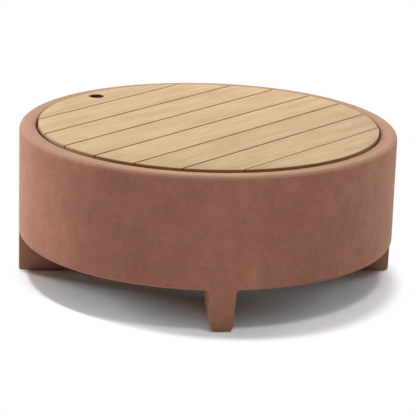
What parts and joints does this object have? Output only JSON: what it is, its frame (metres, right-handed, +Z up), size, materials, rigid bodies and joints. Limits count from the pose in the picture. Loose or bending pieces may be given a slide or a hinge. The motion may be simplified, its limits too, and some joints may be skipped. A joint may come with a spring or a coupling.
{
  "type": "gas fire table",
  "caption": "Round low gas fire table: terracotta concrete drum on four blade legs, with a lift-off slatted teak lid over its burner.",
  "frame": {"origin": "on the floor, under the middle of the drum", "axes": "+Z up, -Y towards the front of the picture, +Y out of the control recess at the back"},
  "size_m": [1.1, 1.1, 0.4445],
  "materials": {
    "terracotta_concrete": "cast glass-fibre reinforced concrete, pigmented terracotta, matt",
    "teak": "unoiled teak, sanded",
    "brushed_stainless": "brushed stainless steel sheet and tube",
    "stainless_fasteners": "turned and pressed stainless steel",
    "galvanised_steel": "galvanised steel sheet",
    "yellow_brass": "turned brass",
    "copper_tube": "drawn copper tube",
    "lava_rock": "porous lava rock",
    "white_ceramic": "alumina",
    "red_silicone": "silicone rubber insulation",
    "black_phenolic": "moulded black phenolic",
    "black_nylon": "moulded black nylon",
    "black_rubber": "EPDM rubber",
    "yellow_lever": "steel, dipped in yellow vinyl"
  },
  "bodies": {
    "table": {"drum_rim": "terracotta_concrete", "drum_wall": "terracotta_concrete", "drum_back": "terracotta_concrete", "drum_floor": "terracotta_concrete", "drum_legs": "terracotta_concrete", "leg_glides": "black_nylon", "threaded_inserts": "yellow_brass", "burner_pan": "brushed_stainless", "burner_rings": "brushed_stainless", "burner_hub": "brushed_stainless", "feed_nipple": "yellow_brass", "air_mixer": "brushed_stainless", "gas_orifice": "yellow_brass", "mixer_elbow": "yellow_brass", "lava_rocks": "lava_rock", "heat_shield": "galvanised_steel", "shield_spacers": "galvanised_steel", "pan_screws": "stainless_fasteners", "pilot_bracket": "brushed_stainless", "pilot_guard": "brushed_stainless", "spark_electrode": "white_ceramic", "electrode_wire": "stainless_fasteners", "thermocouple": "copper_tube", "thermocouple_lead": "copper_tube", "spark_lead": "red_silicone", "control_box": "brushed_stainless", "cap_screws": "stainless_fasteners", "control_valve": "yellow_brass", "valve_nut": "stainless_fasteners", "knob_bezel": "brushed_stainless", "safety_magnet": "yellow_brass", "igniter_body": "black_phenolic", "igniter_nut": "black_phenolic", "button_spring": "stainless_fasteners", "burner_hose": "brushed_stainless", "flare_nuts": "yellow_brass", "supply_pipe": "copper_tube", "shutoff_body": "yellow_brass", "inlet_fitting": "yellow_brass", "inlet_bracket": "galvanised_steel", "locknuts": "stainless_fasteners"},
    "lid": {"lid_board_1": "teak", "lid_board_2": "teak", "lid_board_3": "teak", "lid_board_4": "teak", "lid_board_5": "teak", "lid_board_6": "teak", "lid_board_7": "teak", "lid_board_8": "teak", "lid_battens": "teak", "lid_screws": "stainless_fasteners", "lid_bumpers": "black_rubber"},
    "valve_plug": {"valve_plug": "yellow_brass"},
    "knob": {"valve_stem": "stainless_fasteners", "control_knob": "black_phenolic"},
    "igniter_button": {"igniter_button": "black_phenolic"},
    "shutoff_lever": {"shutoff_ball": "brushed_stainless", "shutoff_stem": "yellow_brass", "shutoff_lever": "yellow_lever", "lever_nut": "stainless_fasteners"}
  },
  "joints": [
    {"name": "lid_lift", "type": "slide", "parent": "table", "child": "lid", "axis": [0, 0, 1], "range_m": [0, 0.35]},
    {"name": "knob_turn", "type": "hinge", "parent": "table", "child": "valve_plug", "pos_m": [-0.042, 0.50499, 0.226], "axis": [0, 1, 0], "range_deg": [0, 210]},
    {"name": "knob_push", "type": "slide", "parent": "valve_plug", "child": "knob", "axis": [0, -1, 0], "range_m": [0, 0.003], "stiffness_N_per_m": 1500, "springref_m": -0.001},
    {"name": "button_push", "type": "slide", "parent": "table", "child": "igniter_button", "axis": [0, -1, 0], "range_m": [0, 0.006], "stiffness_N_per_m": 800, "springref_m": -0.001, "deforming": ["button_spring"]},
    {"name": "shutoff_turn", "type": "hinge", "parent": "table", "child": "shutoff_lever", "pos_m": [-0.042, 0.16776, 0.162], "axis": [0, 0, 1], "range_deg": [0, 90]}
  ]
}
